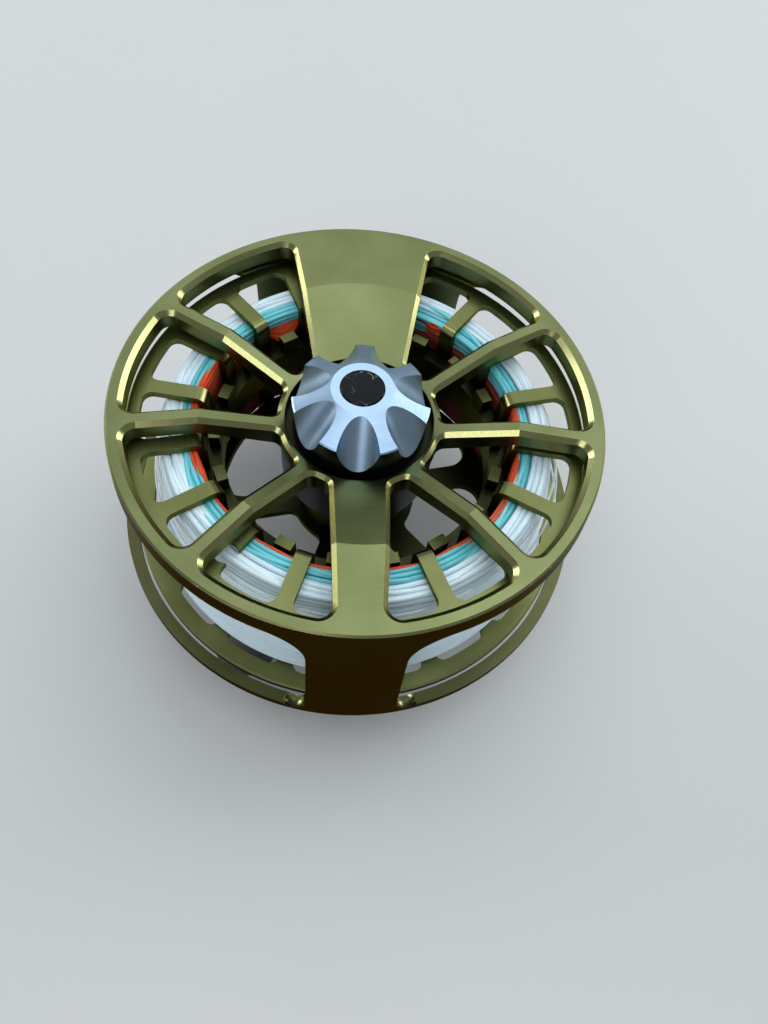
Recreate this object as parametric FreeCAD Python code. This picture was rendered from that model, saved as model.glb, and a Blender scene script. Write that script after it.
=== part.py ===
import FreeCAD, Part
import math
import os

V = FreeCAD.Vector
Z_AXIS = V(0, 0, 1)

# Fly reel, millimetres.  The spool turns about Z; +Z is the drag-knob side.
# The origin is on the spool axis, on the flat outer face of the back ring.

# Cage frame: one machined piece, a little wider at the handle side.
back_radius = 44.0
front_radius = 47.0
frame_depth = 34.7
front_ring_height = 2.0
back_wall_height = 4.0
cage_wall = 2.1
edge_break = 0.35
plate_thickness = 3.6
fold_radius = 28.5
hub_drop = 4.8
recess_radius = 13.6
recess_floor = 6.6
hub_floor_thickness = 2.2
hub_wall = 1.4
window_outer_radius = 41.3
window_corner = 2.2
window_inner_corner = 1.6
window_bevel = 0.8
narrow_spoke_width = 3.3
narrow_spoke_angles = (30.0, -8.3, -49.6)
front_spoke_half_widths = (4.15, 5.35)
broad_spoke_half_widths = (13.95, 8.75)
front_pillar_half = 8.3
rear_pillar_half = 21.5
pillar_arch_radius = 7.0
pillar_base_radius = 2.2
scoop_radius = 2.3

# Spool: one machined piece with ribbed flanges and a barred arbor.
rib_count = 18
rib_phase = 12.0
rib_width = 2.8
near_flange_radius = 41.9
near_flange_ring = 2.4
near_flange_top = -5.1
near_flange_thickness = 1.4
far_flange_lift = 1.4
far_flange_ring = 3.1
far_flange_thickness = 1.6
flange_clearance = 0.45
arbor_inner_radius = 28.0
arbor_wall = 1.6
bar_bend = 2.2
flange_corner = 1.8
hoop_top = -13.0
hoop_height = 6.0
hoop_wall = 2.4
tab_rise = 3.3
tab_width = 3.2
tab_depth = 2.0
web_arms = 6
web_arm_width = 5.0
web_corner = 4.0

# Fly line wound on the arbor, from the inside out.
line_gap = 0.15
backing_depth = 0.7
running_line_depth = 2.0
pack_top_radius = 35.6
pack_bottom_radius = 40.2
pack_bulge = 0.3
leader_radius = 0.25
leader_gap = 0.2
leader_levels = (0.10, 0.26, 0.42)

# Hub parts on the fixed spindle.
running_fit = 0.05
seat_clearance = 0.05
spindle_radius = 3.0
spindle_flange_radius = 5.3
spindle_flange_height = 1.2
spindle_stub_radius = 2.5
spindle_stub_height = 6.0
bearing_radius = 5.5
bearing_width = 3.0
rotor_wall = 1.1
housing_radius = 14.6
housing_wall = 1.0
housing_depth = 9.6
housing_boss_height = 2.0
housing_boss_inner = 8.2
housing_screw_radius = 1.25
housing_screw_head_radius = 1.6
housing_screw_head_height = 1.1
housing_screw_orbit = 9.6
housing_screw_count = 4
seal_radius = 0.5
seal_orbit = 12.4
pin_radius = 0.9
pin_orbit = 6.5
pin_count = 3
washer_thickness = 0.7
spring_thickness = 0.45
spring_height = 0.8
spring_count = 2
cone_large_radius = 11.2
cone_small_radius = 8.6
cone_length = 5.6
cone_gap = 0.5
cup_wall = 1.4
roller_radius = 0.9
roller_count = 8
roller_length = 6.4
clutch_wall = 1.2
spool_hub_wall = 1.8
spool_hub_top = -20.2
bushing_width = 1.6
retainer_radius = 0.55
spool_cap_radius = 10.4
spool_cap_height = 2.4

# Drag knob.
knob_radius = 12.3
knob_rim_height = 0.9
knob_top = 3.55
knob_top_radius = 5.6
knob_skirt_gap = 0.5
knob_skirt_wall = 0.8
knob_cavity_height = 1.5
nut_radius = 9.9
nut_height = 1.8
knob_screw_head_radius = 2.8
knob_screw_head_height = 1.0
knob_screw_radius = 1.2
knob_screw_length = 5.0
flute_count = 7
flute_phase = -92.8
flute_radius = 3.9
flute_start = (5.9, 3.44)
flute_end = (12.3, -4.25)
cap_radius = 4.0
cap_thickness = 1.4
cap_proud = 0.15
click_ball_radius = 0.8
click_orbit = 8.9
click_angle = 45.0
click_hole_depth = 1.7
detent_count = 24
detent_depth = 0.2

# Handle.
handle_angle = 232.0
handle_orbit = 35.4
handle_length = 21.0
handle_root_radius = 4.6
handle_tip_radius = 6.4
handle_bore_radius = 2.1
handle_screw_radius = 2.05
handle_head_radius = 3.4
handle_head_height = 2.0
boss_radius = 5.0

# Reel foot and its screws.
foot_length = 58.0
foot_width = 13.0
foot_tip_width = 6.4
foot_height = 4.6
foot_tip_height = 1.0
foot_flat_length = 22.0
foot_screw_spacing = 12.0
foot_screw_radius = 1.5
foot_screw_head_radius = 2.9
foot_screw_length = 6.4
pad_rise = 0.4

front_face = -frame_depth
front_ring_top = front_face + front_ring_height
front_ring_inner = front_radius - cage_wall - 0.3
far_flange_radius = front_ring_inner - flange_clearance
far_flange_top = front_ring_top + far_flange_lift
far_flange_bottom = far_flange_top - far_flange_thickness
near_flange_bottom = near_flange_top - near_flange_thickness
arbor_outer_radius = arbor_inner_radius + arbor_wall
hub_outer_radius = recess_radius + hub_wall
hub_bottom = -recess_floor - hub_floor_thickness
foot_level = -18.2
pad_face = front_radius + pad_rise
seat_face = pad_face + foot_height
nut_bottom = -recess_floor + spindle_flange_height + 0.4
washer_top = hub_bottom - 0.4
cone_top = washer_top - washer_thickness - spring_count * spring_height
cone_bottom = cone_top - cone_length
cup_bottom = cone_bottom - cone_gap - cup_wall
sleeve_radius = bearing_radius + rotor_wall
clutch_inner = sleeve_radius + 2.0 * roller_radius + 2.0 * running_fit
clutch_outer = clutch_inner + clutch_wall
spool_hub_radius = clutch_outer + spool_hub_wall
sleeve_bottom = far_flange_bottom + 0.3
spindle_bottom = sleeve_bottom + 0.5
knob_bottom = -recess_floor + knob_skirt_gap
cap_top = knob_top + cap_proud
line_top = near_flange_bottom - line_gap
line_bottom = far_flange_top + line_gap
handle_top = far_flange_bottom - 0.4


def polar(radius, degrees, z=0.0):
    angle = math.radians(degrees)
    return V(radius * math.cos(angle), radius * math.sin(angle), z)


def disc(radius, low, high):
    return Part.makeCylinder(radius, high - low, V(0, 0, low))


def ring(inner, outer, low, high):
    return disc(outer, low, high).cut(disc(inner, low - 1.0, high + 1.0))


def revolved(outline):
    points = [V(radius, 0, z) for radius, z in outline]
    wire = Part.makePolygon(points + points[:1])
    return Part.Face(wire).revolve(V(0, 0, 0), Z_AXIS, 360)


def turned(shape, degrees):
    copy = shape.copy()
    copy.rotate(V(0, 0, 0), Z_AXIS, degrees)
    return copy


def moved(shape, x, y, z):
    copy = shape.copy()
    copy.translate(V(x, y, z))
    return copy


def fused(shapes):
    return shapes[0].multiFuse(shapes[1:]).removeSplitter()


def upright_edges(shape):
    return [edge for edge in shape.Edges
            if len(edge.Vertexes) == 2 and abs(edge.tangentAt(edge.FirstParameter).z) > 0.999]


def rounded_at(shape, radius, wanted):
    edges = [edge for edge in upright_edges(shape) if wanted(edge.CenterOfMass)]
    return shape.makeFillet(radius, edges)


def save(name, shapes):
    solids = shapes if isinstance(shapes, list) else [shapes]
    out = solids[0] if len(solids) == 1 else Part.makeCompound(solids)
    out.exportStep(f"parts/{name}.step")


def dip_height(radius):
    # Height of the cone that the back plate's face follows inside the fold.
    return -hub_drop * (fold_radius - radius) / (fold_radius - recess_radius)


def cage_radius(z):
    # Outside of the cage wall, which widens evenly from back to front.
    return back_radius + (front_radius - back_radius) * (-z / frame_depth)


def edge_crossing(direction, offset, radius):
    # Where a line beside a spoke, offset from its centre line, meets a circle.
    along = math.sqrt(radius * radius - offset * offset)
    return turned_point(along, offset, direction)


def turned_point(x, y, degrees):
    angle = math.radians(degrees)
    cos, sin = math.cos(angle), math.sin(angle)
    return (x * cos - y * sin, x * sin + y * cos)


def arc_between(first, last):
    # The shorter arc about Z through two points at one radius.
    chord = (first + last) / 2.0
    middle = polar(math.hypot(first.x, first.y), math.degrees(math.atan2(chord.y, chord.x)), first.z)
    return Part.Arc(first, middle, last).toShape()


def sector(start, end, inner_radius, outer_radius, low, high):
    # A window between two spokes; start and end are (angle, outer offset, inner offset).
    corners = [
        edge_crossing(start[0], start[1], outer_radius),
        edge_crossing(end[0], -end[1], outer_radius),
        edge_crossing(end[0], -end[2], inner_radius),
        edge_crossing(start[0], start[2], inner_radius),
    ]
    a, b, c, d = [V(x, y, low) for x, y in corners]
    wire = Part.Wire([arc_between(a, b), Part.makeLine(b, c), arc_between(c, d), Part.makeLine(d, a)])
    return Part.Face(wire).extrude(V(0, 0, high - low))


def rounded_sector(start, end, inner_radius, outer_radius, low, high, inner_corner, outer_corner):
    block = sector(start, end, inner_radius, outer_radius, low, high)
    middle = (inner_radius + outer_radius) / 2.0
    block = rounded_at(block, outer_corner, lambda p: math.hypot(p.x, p.y) > middle)
    return rounded_at(block, inner_corner, lambda p: math.hypot(p.x, p.y) < middle)


def frame_spokes():
    # Counterclockwise from the front spoke, each as (angle, outer half width, inner half width).
    half = narrow_spoke_width / 2.0
    right = [(angle, half, half) for angle in reversed(narrow_spoke_angles)]
    left = [(180.0 - angle, half, half) for angle in narrow_spoke_angles]
    front = (-90.0,) + front_spoke_half_widths
    broad = (90.0,) + broad_spoke_half_widths
    return [front] + right + [broad] + left


def window_cutters():
    spokes = frame_spokes()
    ends = spokes[1:] + [(spokes[0][0] + 360.0,) + spokes[0][1:]]
    return [rounded_sector(start, end, hub_outer_radius, window_outer_radius, hub_bottom - 1.0, 10.0,
                           window_inner_corner, window_corner)
            for start, end in zip(spokes, ends)]


def plate_under(face_height):
    # The back plate with its windows, if its outer face followed one height all over.
    outer_low = cage_radius(-plate_thickness)
    plate = revolved([
        (spindle_radius, face_height(spindle_radius)),
        (back_radius, face_height(back_radius)),
        (outer_low, -plate_thickness),
        (fold_radius, -plate_thickness),
        (hub_outer_radius, hub_bottom),
        (spindle_radius, hub_bottom),
    ]).cut(window_cutters())

    def borders_window(edge):
        for share in (0.0, 0.25, 0.5, 0.75, 1.0):
            at = edge.valueAt(edge.FirstParameter + share * (edge.LastParameter - edge.FirstParameter))
            radius = math.hypot(at.x, at.y)
            if abs(at.z - face_height(radius)) > 0.01:
                return False
            if not hub_outer_radius - 0.01 < radius < window_outer_radius + 0.01:
                return False
        return True
    return plate.makeChamfer(window_bevel, [edge for edge in plate.Edges if borders_window(edge)])


def back_plate():
    # Flat outside the fold; inside it the face dips evenly to the hub with the knob's recess.
    flat = plate_under(lambda radius: 0.0)
    dipped = plate_under(dip_height)
    plate = flat.common(dipped).cut(disc(recess_radius, -recess_floor, 1.0))
    rim = [edge for edge in plate.Edges
           if abs(edge.BoundBox.ZMax) < 0.001 and edge.BoundBox.XMax > back_radius - 0.01]
    return plate.makeChamfer(edge_break, rim)


def side_opening(half, side, low_y, high_y):
    reach = front_radius + 5.0
    left = half if side > 0 else -reach
    block = Part.makeBox(reach - half, high_y - low_y, -back_wall_height - front_ring_top,
                         V(left, low_y, front_ring_top))
    at_pillar = [edge for edge in block.Edges
                 if abs(edge.CenterOfMass.x - side * half) < 0.01
                 and abs(edge.CenterOfMass.y - (low_y + high_y) / 2.0) < 0.01]
    at_pillar.sort(key=lambda edge: edge.CenterOfMass.z)
    block = block.makeFillet(pillar_base_radius, [at_pillar[0]])
    top = [edge for edge in block.Edges
           if abs(edge.CenterOfMass.x - side * half) < 0.01
           and abs(edge.CenterOfMass.z + back_wall_height) < 0.01]
    return block.makeFillet(pillar_arch_radius, top)


def cage_wall_ring():
    top = -plate_thickness
    wall = revolved([
        (cage_radius(top) - cage_wall, top),
        (cage_radius(top), top),
        (cage_radius(front_face + edge_break), front_face + edge_break),
        (front_radius - edge_break, front_face),
        (front_ring_inner, front_face),
        (front_ring_inner, front_ring_top),
    ])
    far = front_radius + 5.0
    for side in (1, -1):
        wall = wall.cut(side_opening(front_pillar_half, side, -far, 0.0))
        wall = wall.cut(side_opening(rear_pillar_half, side, 0.0, far))
    # A ball cutter runs out beside the foot of each pillar.
    ring_middle = (front_ring_inner + front_radius) / 2.0
    for half, end in ((front_pillar_half, -1), (rear_pillar_half, 1)):
        for side in (1, -1):
            x = side * (half + scoop_radius)
            y = end * math.sqrt(ring_middle ** 2 - x ** 2)
            level = front_ring_top + scoop_radius - 0.9
            wall = wall.cut(Part.makeSphere(scoop_radius, V(x, y, level)))
    return wall


def foot_pad():
    # A flat pad on the rear pillar, inside the wall's thickness at its root.
    half = foot_flat_length / 2.0
    root = cage_radius(foot_level) - cage_wall / 2.0
    pad = Part.makeBox(2.0 * half, pad_face - root, foot_width,
                       V(-half, root, foot_level - foot_width / 2.0))
    corners = [edge for edge in pad.Edges if abs(edge.tangentAt(edge.FirstParameter).y) > 0.999]
    pad = pad.makeFillet(2.0, corners)
    return pad.cut(disc(back_radius - 2.0 * cage_wall / 3.0, front_face, 0.0))


def around(count, phase=0.0):
    return [phase + index * 360.0 / count for index in range(count)]


def foot_screw_places():
    return [(side * foot_screw_spacing / 2.0, foot_level) for side in (1, -1)]


def drilled(radius, x, z, near, far):
    return Part.makeCylinder(radius, far - near, V(x, near, z), V(0, 1, 0))


def cage_frame():
    frame = fused([back_plate(), cage_wall_ring(), foot_pad()])
    for x, z in foot_screw_places():
        frame = frame.cut(drilled(foot_screw_radius, x, z, back_radius - 5.0, pad_face + 1.0))
    for angle in around(housing_screw_count):
        at = polar(housing_screw_orbit, angle)
        hole = moved(disc(housing_screw_radius, hub_bottom - 1.0, 0.0), at.x, at.y, 0)
        frame = frame.cut(hole)
    for angle in around(pin_count, 30.0):
        at = polar(pin_orbit, angle)
        hole = moved(disc(pin_radius + running_fit, hub_bottom - 1.0, 0.0), at.x, at.y, 0)
        frame = frame.cut(hole)
    click = polar(click_orbit, click_angle)
    pocket = disc(click_ball_radius + running_fit, -recess_floor - click_hole_depth, 0.0)
    return frame.cut(moved(pocket, click.x, click.y, 0))


def reel_foot():
    # Flat on the rod side, ramped to thin rounded tips that slide under the seat's hoods.
    end = foot_length / 2.0
    flat = foot_flat_length / 2.0
    tip = seat_face - foot_tip_height
    ramp_x = (end + flat) / 2.0
    ramp_y = tip - (tip - pad_face) * 0.22
    low = foot_level - foot_width / 2.0
    right = Part.Arc(V(end, tip, low), V(ramp_x, ramp_y, low), V(flat, pad_face, low)).toShape()
    left = Part.Arc(V(-flat, pad_face, low), V(-ramp_x, ramp_y, low), V(-end, tip, low)).toShape()
    wire = Part.Wire([
        Part.makeLine(V(-end, seat_face, low), V(end, seat_face, low)),
        Part.makeLine(V(end, seat_face, low), V(end, tip, low)),
        right,
        Part.makeLine(V(flat, pad_face, low), V(-flat, pad_face, low)),
        left,
        Part.makeLine(V(-end, tip, low), V(-end, seat_face, low)),
    ])
    side_view = Part.Face(wire).extrude(V(0, 0, foot_width))
    middle_half, tip_half = foot_width / 2.0, foot_tip_width / 2.0
    corners = [(-end, -tip_half), (-flat, -middle_half), (flat, -middle_half), (end, -tip_half),
               (end, tip_half), (flat, middle_half), (-flat, middle_half), (-end, tip_half)]
    around_foot = [V(x, pad_face - 1.0, foot_level + z) for x, z in corners]
    outline = Part.Face(Part.makePolygon(around_foot + around_foot[:1]))
    foot = side_view.common(outline.extrude(V(0, foot_height + 2.0, 0)))
    tips = [edge for edge in foot.Edges
            if abs(edge.tangentAt(edge.FirstParameter).y) > 0.999 and abs(edge.CenterOfMass.x) > end - 0.1]
    foot = foot.makeFillet(foot_tip_width * 0.4, tips)
    for x, z in foot_screw_places():
        foot = foot.cut(drilled(foot_screw_radius, x, z, pad_face - 1.0, seat_face + 1.0))
        foot = foot.cut(countersink(x, z))
    return foot


def countersink(x, z):
    depth = foot_screw_head_radius - foot_screw_radius
    return Part.makeCone(foot_screw_radius, foot_screw_head_radius, depth,
                         V(x, seat_face - depth, z), V(0, 1, 0))


def foot_screws():
    screws = []
    drive = 0.75
    for x, z in foot_screw_places():
        shank = drilled(foot_screw_radius, x, z, seat_face - foot_screw_length, seat_face - 1.0)
        screw = shank.fuse(countersink(x, z)).removeSplitter()
        screws.append(screw.cut(drilled(drive, x, z, seat_face - 1.0, seat_face + 1.0)))
    return screws


def spindle():
    flange_top = -recess_floor + spindle_flange_height
    shaft = disc(spindle_radius, spindle_bottom, -recess_floor)
    flange = disc(spindle_flange_radius, -recess_floor, flange_top)
    stub = disc(spindle_stub_radius, flange_top, flange_top + spindle_stub_height)
    body = fused([shaft, flange, stub])
    top = flange_top + spindle_stub_height
    body = body.cut(disc(knob_screw_radius, top - knob_screw_length, top + 1.0))
    return body.cut(disc(knob_screw_radius, spindle_bottom - 1.0, spindle_bottom + knob_screw_length))


def spindle_screw():
    # Holds the bearings on the spindle's lower end.
    head = disc(spindle_radius + 1.2, spindle_bottom - 1.2, spindle_bottom)
    shank = disc(knob_screw_radius, spindle_bottom, spindle_bottom + knob_screw_length)
    slot = Part.makeBox(12.0, 0.8, 0.6, V(-6.0, -0.4, spindle_bottom - 1.2))
    return fused([head, shank]).cut(slot)


def drag_housing():
    bottom = hub_bottom - housing_depth
    inner = housing_radius - housing_wall
    shell = ring(inner, housing_radius, bottom, hub_bottom)
    boss = ring(housing_boss_inner, housing_radius, hub_bottom - housing_boss_height, hub_bottom)
    body = fused([shell, boss])
    for angle in around(housing_screw_count):
        at = polar(housing_screw_orbit, angle)
        body = body.cut(moved(disc(housing_screw_radius, bottom, 0.0), at.x, at.y, 0))
    groove = ring(seal_orbit - 0.7, seal_orbit + 0.7, hub_bottom - 2.0 * seal_radius, hub_bottom + 1.0)
    return body.cut(groove)


def housing_seal():
    return Part.makeTorus(seal_orbit, seal_radius, V(0, 0, hub_bottom - seal_radius))


def housing_screws():
    screws = []
    bottom = hub_bottom - housing_boss_height
    for angle in around(housing_screw_count):
        at = polar(housing_screw_orbit, angle)
        shank = disc(housing_screw_radius, bottom, -recess_floor)
        head = disc(housing_screw_head_radius, -recess_floor, -recess_floor + housing_screw_head_height)
        drive = disc(0.8, -recess_floor + 0.4, 0.0)
        screws.append(moved(fused([shank, head]).cut(drive), at.x, at.y, 0))
    return screws


def push_pins():
    pins = []
    for angle in around(pin_count, 30.0):
        at = polar(pin_orbit, angle)
        pins.append(moved(disc(pin_radius, washer_top, nut_bottom), at.x, at.y, 0))
    return pins


def thrust_washer():
    return ring(spindle_radius + running_fit, pin_orbit + pin_radius, washer_top - washer_thickness,
                washer_top)


def drag_springs():
    # Dished washers, stacked rim to rim.
    inner = spindle_radius + 0.4
    outer = pin_orbit + pin_radius
    top = washer_top - washer_thickness
    springs = []
    for index in range(spring_count):
        high = top - index * spring_height
        low = high - spring_height
        near, far = (high, low + spring_thickness) if index % 2 == 0 else (low + spring_thickness, high)
        springs.append(revolved([
            (inner, near - spring_thickness),
            (inner, near),
            (outer, far),
            (outer, far - spring_thickness),
        ]))
    return springs


def drag_cone():
    return revolved([
        (spindle_radius + running_fit, cone_bottom),
        (spindle_radius + running_fit, cone_top),
        (cone_large_radius, cone_top),
        (cone_small_radius, cone_bottom),
    ])


def drag_rotor():
    # Female cone of the clutch, with the sleeve that the spool runs on.
    lip = cone_top - 0.2
    slope = (cone_large_radius - cone_small_radius) / cone_length
    inner_top = cone_large_radius + cone_gap - 0.2 * slope
    inner_low = cone_small_radius + cone_gap
    floor = cone_bottom - cone_gap
    return revolved([
        (bearing_radius, sleeve_bottom),
        (bearing_radius, floor),
        (inner_low, floor),
        (inner_low, cone_bottom),
        (inner_top, lip),
        (inner_top + cup_wall, lip),
        (inner_low + cup_wall, cup_bottom + 1.0),
        (inner_low + cup_wall - 1.0, cup_bottom),
        (sleeve_radius, cup_bottom),
        (sleeve_radius, sleeve_bottom),
    ]).cut(Part.makeTorus(sleeve_radius + 0.1, retainer_radius, V(0, 0, sleeve_bottom + 1.6)))


def rotor_bearings():
    top = cone_bottom - cone_gap
    low = spindle_bottom + 0.2
    inner = spindle_radius + running_fit
    return [ring(inner, bearing_radius, top - bearing_width, top),
            ring(inner, bearing_radius, low, low + bearing_width)]


def bearing_spacer():
    top = cone_bottom - cone_gap - bearing_width
    low = spindle_bottom + 0.2 + bearing_width
    return ring(bearing_radius - 1.0, bearing_radius, low, top)


def retainer_ring():
    # Stretches over the sleeve's end and holds the spool on by a snap.
    level = sleeve_bottom + 1.6
    return Part.makeTorus(sleeve_radius + 0.1, retainer_radius, V(0, 0, level))


def clutch_level():
    # The clutch fills the hub between the two bushings.
    top = spool_hub_top - bushing_width
    return top - roller_length, top


def spool_bushings():
    low, top = clutch_level()
    inner = sleeve_radius + running_fit
    return [ring(inner, clutch_outer, top, spool_hub_top),
            ring(inner, clutch_outer, low - bushing_width, low)]


def clutch_shell():
    low, top = clutch_level()
    return ring(clutch_inner, clutch_outer, low, top)


def clutch_rollers():
    low, top = clutch_level()
    orbit = sleeve_radius + running_fit + roller_radius
    rollers = []
    for angle in around(roller_count):
        at = polar(orbit, angle)
        rollers.append(moved(disc(roller_radius, low + 0.1, top - 0.1), at.x, at.y, 0))
    return rollers


def rib_windows(inner_radius, outer_radius, low, high, inner_corner):
    half = rib_width / 2.0
    pitch = 360.0 / rib_count
    first = rounded_sector((rib_phase, half, half), (rib_phase + pitch, half, half), inner_radius,
                           outer_radius, low - 1.0, high + 1.0, inner_corner, flange_corner)
    return [turned(first, angle) for angle in around(rib_count)]


def near_flange():
    rim = near_flange_radius
    flange = revolved([
        (arbor_inner_radius + bar_bend, near_flange_top),
        (rim - 0.3, near_flange_top),
        (rim, near_flange_top - 0.3),
        (rim, near_flange_bottom + 0.3),
        (rim - 0.3, near_flange_bottom),
        (arbor_inner_radius + bar_bend, near_flange_bottom),
    ])
    windows = rib_windows(arbor_inner_radius - 3.0, rim - near_flange_ring, near_flange_bottom,
                          near_flange_top, 0.5)
    return flange.cut(windows)


def far_flange():
    rim = far_flange_radius
    flange = revolved([
        (0, far_flange_top),
        (rim - 0.35, far_flange_top),
        (rim, far_flange_top - 0.35),
        (rim, far_flange_bottom),
        (0, far_flange_bottom),
    ])
    windows = rib_windows(arbor_outer_radius, rim - far_flange_ring, far_flange_bottom,
                          far_flange_top, 0.8)
    arm = web_arm_width / 2.0
    pitch = 360.0 / web_arms
    opening = rounded_sector((0, arm, arm), (pitch, arm, arm), spool_hub_radius + 1.5,
                             arbor_inner_radius - 0.8, far_flange_bottom - 1.0, far_flange_top + 1.0,
                             web_corner / 2.0, web_corner)
    openings = [turned(opening, rib_phase + angle) for angle in around(web_arms)]
    return flange.cut(windows + openings + [disc(clutch_outer, far_flange_bottom - 1.0, 0.0)])


def arbor_bars():
    # Each near rib bends round into a bar that runs down to the far flange.
    half = rib_width / 2.0
    root = max(arbor_outer_radius, arbor_inner_radius + bar_bend) + 0.6
    outline = [
        (arbor_inner_radius + bar_bend, near_flange_top),
        (root, near_flange_top),
        (root, near_flange_bottom),
        (arbor_outer_radius, near_flange_bottom),
        (arbor_outer_radius, far_flange_bottom),
        (arbor_inner_radius, far_flange_bottom),
        (arbor_inner_radius, near_flange_top - bar_bend),
    ]
    points = [V(radius, -half, z) for radius, z in outline]
    cut = bar_bend * (1.0 - math.sqrt(0.5))
    middle = V(arbor_inner_radius + cut, -half, near_flange_top - cut)
    wire = Part.Wire(Part.makePolygon(points).Edges + [Part.Arc(points[-1], middle, points[0]).toShape()])
    bar = Part.Face(wire).extrude(V(0, rib_width, 0))
    return [turned(bar, angle) for angle in around(rib_count, rib_phase)]


def arbor_hoop():
    inner = arbor_inner_radius - hoop_wall
    hoop = ring(inner, arbor_inner_radius + arbor_wall / 2.0, hoop_top - hoop_height, hoop_top)
    tab = Part.makeBox(tab_depth, tab_width, tab_rise + 1.0, V(inner + 0.1, -tab_width / 2.0, hoop_top - 1.0))
    pitch = 360.0 / rib_count
    return [hoop] + [turned(tab, angle) for angle in around(rib_count, rib_phase + pitch / 2.0)]


def handle_place():
    return polar(handle_orbit, handle_angle)


def spool():
    hub = ring(clutch_outer, spool_hub_radius, far_flange_bottom, spool_hub_top)
    at = handle_place()
    boss = moved(disc(boss_radius, far_flange_bottom, far_flange_top), at.x, at.y, 0)
    body = fused([near_flange(), far_flange(), hub, boss] + arbor_hoop() + arbor_bars())
    return body.cut(moved(disc(handle_screw_radius, far_flange_bottom - 1.0, 0.0), at.x, at.y, 0))


def spool_cap():
    top = far_flange_bottom
    low = top - spool_cap_height
    cavity = sleeve_radius + 0.8
    spigot = clutch_outer - seat_clearance
    spigot_top = top + 1.2
    return revolved([
        (0, low),
        (spool_cap_radius - 0.8, low),
        (spool_cap_radius, low + 0.8),
        (spool_cap_radius, top),
        (spigot, top),
        (spigot, spigot_top),
        (spigot - 1.2, spigot_top),
        (cavity, top),
        (cavity, low + 1.1),
        (0, low + 1.1),
    ])


def pack_radius(z):
    # The wound line widens evenly towards the handle side, with a slight bulge between its edges.
    middle = (line_top + line_bottom) / 2.0
    share = (z - middle) / (line_top - middle)
    mean = (pack_top_radius + pack_bottom_radius) / 2.0
    slope = (pack_top_radius - pack_bottom_radius) / 2.0
    return mean + slope * share + pack_bulge * (1.0 - share * share)


def backing_line():
    inner = arbor_outer_radius + seat_clearance
    return ring(inner, inner + backing_depth, line_bottom, line_top)


def running_line():
    inner = arbor_outer_radius + 2.0 * seat_clearance + backing_depth
    return ring(inner, inner + running_line_depth, line_bottom, line_top)


def head_line():
    inner = arbor_outer_radius + 3.0 * seat_clearance + backing_depth + running_line_depth
    middle = (line_top + line_bottom) / 2.0
    crown = Part.Arc(V(pack_top_radius, 0, line_top), V(pack_radius(middle), 0, middle),
                     V(pack_bottom_radius, 0, line_bottom)).toShape()
    wire = Part.Wire([
        crown,
        Part.makeLine(V(pack_bottom_radius, 0, line_bottom), V(inner, 0, line_bottom)),
        Part.makeLine(V(inner, 0, line_bottom), V(inner, 0, line_top)),
        Part.makeLine(V(inner, 0, line_top), V(pack_top_radius, 0, line_top)),
    ])
    return Part.Face(wire).revolve(V(0, 0, 0), Z_AXIS, 360)


def leader():
    turns = []
    for level in leader_levels:
        z = line_top + level * (line_bottom - line_top)
        orbit = pack_radius(z) + leader_radius + leader_gap
        turns.append(Part.makeTorus(orbit, leader_radius, V(0, 0, z)))
    return turns


def adjuster_nut():
    nut = ring(spindle_stub_radius + running_fit, nut_radius, nut_bottom, nut_bottom + nut_height)
    ball = click_ball_radius + 0.1
    for angle in around(detent_count, click_angle):
        at = polar(click_orbit, angle)
        nut = nut.cut(Part.makeSphere(ball, V(at.x, at.y, nut_bottom - ball + detent_depth)))
    return nut


def click_ball():
    at = polar(click_orbit, click_angle)
    return Part.makeSphere(click_ball_radius, V(at.x, at.y, nut_bottom - click_ball_radius - 0.05))


def click_spring():
    at = polar(click_orbit, click_angle)
    top = nut_bottom - 2.0 * click_ball_radius - 0.05
    bottom = -recess_floor - click_hole_depth
    return moved(ring(click_ball_radius - 0.4, click_ball_radius - 0.1, bottom, top), at.x, at.y, 0)


def drag_knob():
    stub = spindle_stub_radius + running_fit
    stub_top = -recess_floor + spindle_flange_height + spindle_stub_height
    head_room = knob_screw_head_radius + 0.3
    cavity = knob_radius - knob_skirt_wall
    cavity_top = knob_bottom + knob_cavity_height
    pocket = cap_top - cap_thickness
    knob = revolved([
        (stub, nut_bottom + nut_height),
        (nut_radius, nut_bottom + nut_height),
        (nut_radius, cavity_top),
        (cavity, cavity_top),
        (cavity, knob_bottom),
        (knob_radius, knob_bottom),
        (knob_radius, knob_rim_height - 0.2),
        (knob_radius - 0.25, knob_rim_height),
        (knob_top_radius, knob_top),
        (cap_radius, knob_top),
        (cap_radius, pocket),
        (head_room, pocket),
        (head_room, stub_top - 0.1),
        (stub, stub_top - 0.1),
    ])
    return knob.cut([turned(flute(), angle) for angle in around(flute_count, flute_phase)])


def flute():
    run = flute_end[0] - flute_start[0]
    fall = flute_start[1] - flute_end[1]
    length = math.hypot(run, fall)
    along = V(run / length, 0, -fall / length)
    lift = V(fall / length, 0, run / length) * flute_radius
    start = V(flute_start[0], 0, flute_start[1]) - along * length + lift
    return Part.makeCylinder(flute_radius, 4.0 * length, start, along)


def knob_cap():
    low = cap_top - cap_thickness
    edge = cap_radius - seat_clearance
    return revolved([
        (0, low),
        (edge, low),
        (edge, cap_top - 0.25),
        (edge - 0.25, cap_top),
        (0, cap_top),
    ])


def knob_screw():
    base = -recess_floor + spindle_flange_height + spindle_stub_height
    head = disc(knob_screw_head_radius, base, base + knob_screw_head_height)
    shank = disc(knob_screw_radius, base - knob_screw_length, base)
    drive = disc(0.9, base + 0.3, base + 2.0)
    return fused([head, shank]).cut(drive)


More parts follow.
